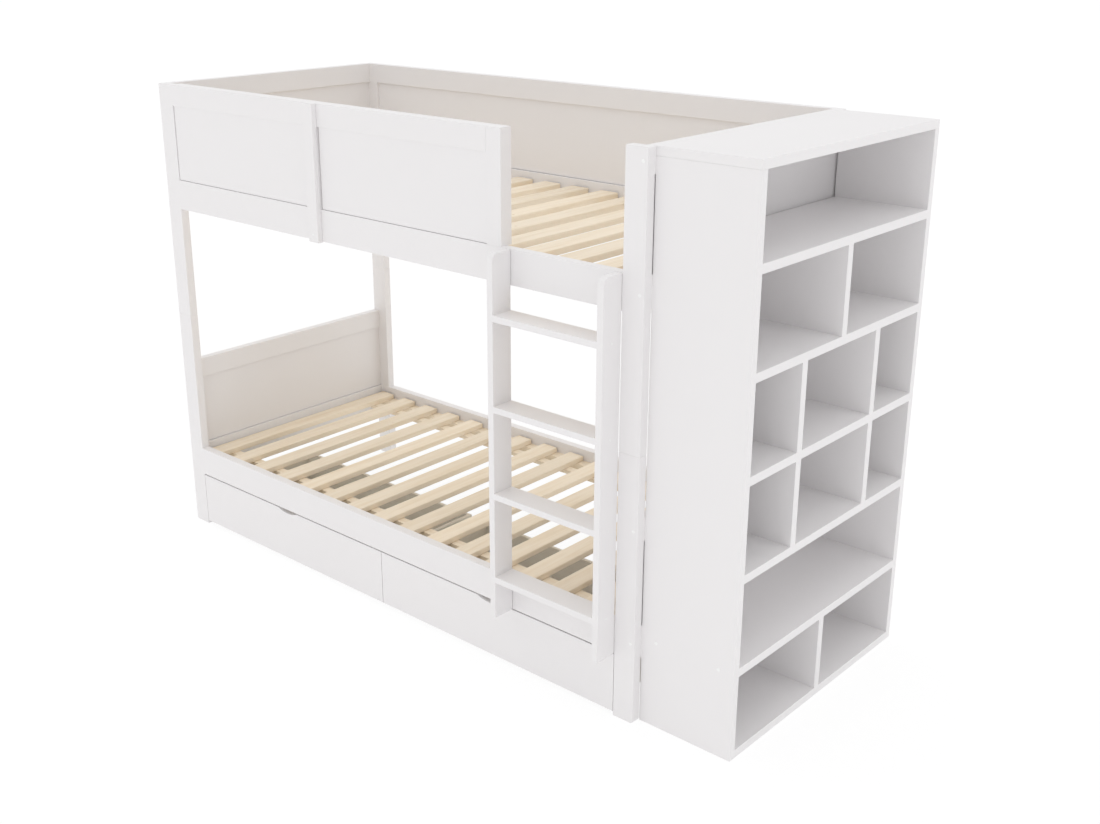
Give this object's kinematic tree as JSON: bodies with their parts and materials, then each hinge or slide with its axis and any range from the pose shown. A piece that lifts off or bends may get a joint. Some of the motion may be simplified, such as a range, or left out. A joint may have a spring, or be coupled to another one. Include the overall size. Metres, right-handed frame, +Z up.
{
  "type": "bunk bed with bookcase",
  "caption": "White bunk bed with a vertical ladder, panelled guard rails, pine slats, under-bed drawers on wheels and an open bookcase across one end.",
  "frame": {"origin": "centre of the footprint on the floor, with the ladder and the bookcase counted in it", "axes": "+X along the bed towards the bookcase, +Y from the ladder side to the back, +Z up"},
  "size_m": [2.396, 1.035, 1.626],
  "materials": {
    "white_board": "smooth white satin lacquer",
    "pine": "bare planed pine",
    "wheel_plastic": "moulded plastic",
    "pin_steel": "bright zinc",
    "white_fastener": "white enamel"
  },
  "bodies": {
    "bed": {"post_front_left_lower": "white_board", "post_front_left_upper": "white_board", "post_front_right_lower": "white_board", "post_front_right_upper": "white_board", "post_rear_left_lower": "white_board", "post_rear_left_upper": "white_board", "post_rear_right_lower": "white_board", "post_rear_right_upper": "white_board", "upper_front_rail": "white_board", "upper_rear_rail": "white_board", "lower_front_rail": "white_board", "lower_rear_rail": "white_board", "guard_rear_top_rail": "white_board", "guard_rear_panel": "white_board", "headboard_rails": "white_board", "headboard_panel": "white_board", "footboard_rails": "white_board", "footboard_panel": "white_board", "guard_left_rails": "white_board", "guard_left_panel": "white_board", "guard_right_rails": "white_board", "guard_right_panel": "white_board", "guard_front_top_rail": "white_board", "guard_front_end_stile": "white_board", "guard_front_middle_stile": "white_board", "guard_front_panel_left": "white_board", "guard_front_panel_right": "white_board", "guard_front_batten": "white_board", "slat_ledgers": "pine", "lower_slats": "pine", "upper_slats": "pine", "ladder_stile_left": "white_board", "ladder_stile_right": "white_board", "ladder_steps": "white_board", "bookcase_side_front": "white_board", "bookcase_side_rear": "white_board", "bookcase_top": "white_board", "bookcase_back": "white_board", "bookcase_bottom": "white_board", "bookcase_shelf_1": "white_board", "bookcase_shelf_2": "white_board", "bookcase_shelf_3": "white_board", "bookcase_shelf_4": "white_board", "bookcase_shelf_5": "white_board", "bookcase_dividers": "white_board", "fasteners": "white_fastener"},
    "drawer_left": {"drawer_left_front": "white_board", "drawer_left_back": "pine", "drawer_left_sides": "pine", "drawer_left_base": "pine", "drawer_left_axle_pins": "pin_steel"},
    "drawer_left_front_wheels": {"drawer_left_wheels_front": "wheel_plastic"},
    "drawer_left_rear_wheels": {"drawer_left_wheels_rear": "wheel_plastic"},
    "drawer_right": {"drawer_right_front": "white_board", "drawer_right_back": "pine", "drawer_right_sides": "pine", "drawer_right_base": "pine", "drawer_right_axle_pins": "pin_steel"},
    "drawer_right_front_wheels": {"drawer_right_wheels_front": "wheel_plastic"},
    "drawer_right_rear_wheels": {"drawer_right_wheels_rear": "wheel_plastic"}
  },
  "joints": [
    {"name": "drawer_left_slide", "type": "slide", "parent": "bed", "child": "drawer_left", "axis": [0, -1, 0], "range_m": [0, 0.44]},
    {"name": "drawer_left_front_wheels_turn", "type": "hinge", "parent": "drawer_left", "child": "drawer_left_front_wheels", "pos_m": [-0.6395, -0.3795, 0.0223], "axis": [1, 0, 0], "range_deg": [0, 1150]},
    {"name": "drawer_left_rear_wheels_turn", "type": "hinge", "parent": "drawer_left", "child": "drawer_left_rear_wheels", "pos_m": [-0.6395, -0.0275, 0.0223], "axis": [1, 0, 0], "range_deg": [0, 1150]},
    {"name": "drawer_right_slide", "type": "slide", "parent": "bed", "child": "drawer_right", "axis": [0, -1, 0], "range_m": [0, 0.44]},
    {"name": "drawer_right_front_wheels_turn", "type": "hinge", "parent": "drawer_right", "child": "drawer_right_front_wheels", "pos_m": [0.3355, -0.3795, 0.0223], "axis": [1, 0, 0], "range_deg": [0, 1150]},
    {"name": "drawer_right_rear_wheels_turn", "type": "hinge", "parent": "drawer_right", "child": "drawer_right_rear_wheels", "pos_m": [0.3355, -0.0275, 0.0223], "axis": [1, 0, 0], "range_deg": [0, 1150]}
  ],
  "couplings": [
    {"joint": "drawer_left_front_wheels_turn", "follows": "drawer_left_slide", "rad_per_m": 45.455},
    {"joint": "drawer_left_rear_wheels_turn", "follows": "drawer_left_slide", "rad_per_m": 45.455},
    {"joint": "drawer_right_front_wheels_turn", "follows": "drawer_right_slide", "rad_per_m": 45.455},
    {"joint": "drawer_right_rear_wheels_turn", "follows": "drawer_right_slide", "rad_per_m": 45.455}
  ]
}
